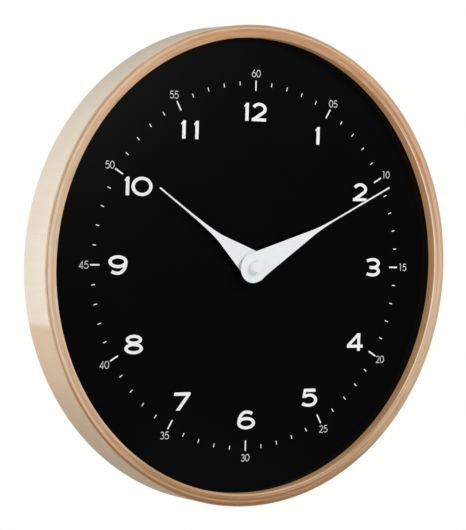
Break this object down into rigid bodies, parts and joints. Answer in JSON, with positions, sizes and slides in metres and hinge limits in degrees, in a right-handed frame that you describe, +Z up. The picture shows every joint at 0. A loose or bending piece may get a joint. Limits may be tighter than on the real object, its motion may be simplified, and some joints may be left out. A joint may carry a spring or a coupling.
{
  "type": "analogue wall clock",
  "caption": "Round wall clock with a laminated bentwood hoop, a black dial with white numerals, white hands and a battery quartz movement.",
  "frame": {"origin": "centre of the hanger's keyhole, in the plane of the wall", "axes": "+Z up, +Y into the wall, so the clock faces -Y"},
  "size_m": [0.35, 0.0332, 0.35],
  "materials": {
    "hoop_wood": "clear matt lacquer over laminated veneer",
    "board": "raw fibreboard",
    "dial_black": "satin black face",
    "steel": "bright zinc",
    "screw_steel": "zinc plated",
    "gasket": "matt",
    "brass": "machined",
    "hand_white": "satin white paint",
    "collet": "machined",
    "case_black": "fine moulded texture",
    "inner_plastic": "moulded",
    "gear_plastic": "moulded acetal",
    "knob_plastic": "moulded",
    "magnet": "sintered",
    "lamination": "stamped",
    "copper_wire": "enamelled winding",
    "circuit": "solder mask",
    "chip": "epoxy blob",
    "can": "drawn can",
    "battery_wrap": "printed sleeve",
    "contact": "nickel plated"
  },
  "bodies": {
    "clock_frame": {"rim_hoop": "hoop_wood", "dial_board": "board", "dial_sheet": "dial_black", "board_clips": "steel", "clip_screws": "screw_steel", "hanger_plate": "steel", "mounting_gasket": "gasket", "threaded_bush": "brass", "dial_washer": "brass", "fixing_nut": "brass", "movement_front_case": "case_black", "movement_rear_cover": "case_black", "middle_plate": "inner_plastic", "train_plate": "inner_plastic", "stator": "lamination", "coil_core": "lamination", "coil_bobbin": "inner_plastic", "coil_winding": "copper_wire", "circuit_board": "circuit", "timing_chip": "chip", "quartz_crystal": "can", "battery": "battery_wrap", "battery_positive_contact": "contact", "battery_negative_contact": "contact"},
    "minute_train": {"minute_hand": "hand_white", "minute_hand_collet": "collet", "hand_cap_nut": "hand_white", "minute_arbor": "brass", "friction_spring": "steel"},
    "hour_train": {"hour_hand": "hand_white", "hour_hand_collet": "collet", "hour_wheel": "gear_plastic"},
    "motion_wheel_body": {"motion_wheel": "gear_plastic"},
    "set_knob_body": {"set_knob": "knob_plastic"},
    "centre_wheel_body": {"centre_wheel": "gear_plastic"},
    "third_wheel_body": {"third_wheel": "gear_plastic"},
    "seconds_wheel_body": {"seconds_wheel": "gear_plastic"},
    "intermediate_wheel_body": {"intermediate_wheel": "gear_plastic"},
    "rotor_body": {"rotor_pinion": "gear_plastic", "rotor_magnet": "magnet"}
  },
  "joints": [
    {"name": "minute_hand_turn", "type": "hinge", "parent": "clock_frame", "child": "minute_train", "pos_m": [0, 0, -0.036], "axis": [0, 1, 0], "continuous": true},
    {"name": "hour_hand_turn", "type": "hinge", "parent": "clock_frame", "child": "hour_train", "pos_m": [0, 0, -0.036], "axis": [0, 1, 0], "continuous": true},
    {"name": "motion_wheel_turn", "type": "hinge", "parent": "clock_frame", "child": "motion_wheel_body", "pos_m": [-0.00905, 0, -0.02695], "axis": [0, 1, 0], "continuous": true},
    {"name": "set_knob_turn", "type": "hinge", "parent": "clock_frame", "child": "set_knob_body", "pos_m": [-0.02014, 0, -0.02055], "axis": [0, 1, 0], "continuous": true},
    {"name": "rotor_turn", "type": "hinge", "parent": "clock_frame", "child": "rotor_body", "pos_m": [0.00269, 0, -0.01978], "axis": [0, 1, 0], "continuous": true},
    {"name": "intermediate_wheel_turn", "type": "hinge", "parent": "clock_frame", "child": "intermediate_wheel_body", "pos_m": [-0.00156, 0, -0.02714], "axis": [0, 1, 0], "continuous": true},
    {"name": "seconds_wheel_turn", "type": "hinge", "parent": "clock_frame", "child": "seconds_wheel_body", "pos_m": [0, 0, -0.036], "axis": [0, 1, 0], "continuous": true},
    {"name": "third_wheel_turn", "type": "hinge", "parent": "clock_frame", "child": "third_wheel_body", "pos_m": [0.00918, 0, -0.036], "axis": [0, 1, 0], "continuous": true},
    {"name": "centre_wheel_turn", "type": "hinge", "parent": "clock_frame", "child": "centre_wheel_body", "pos_m": [0, 0, -0.036], "axis": [0, 1, 0], "continuous": true}
  ],
  "couplings": [
    {"joint": "hour_hand_turn", "follows": "minute_hand_turn", "ratio": 0.083333},
    {"joint": "motion_wheel_turn", "follows": "minute_hand_turn", "ratio": -0.33333},
    {"joint": "set_knob_turn", "follows": "minute_hand_turn", "ratio": 1},
    {"joint": "intermediate_wheel_turn", "follows": "rotor_turn", "ratio": -0.13333},
    {"joint": "seconds_wheel_turn", "follows": "rotor_turn", "ratio": 0.033333},
    {"joint": "third_wheel_turn", "follows": "rotor_turn", "ratio": -0.0044444},
    {"joint": "centre_wheel_turn", "follows": "rotor_turn", "ratio": 0.00055556}
  ]
}
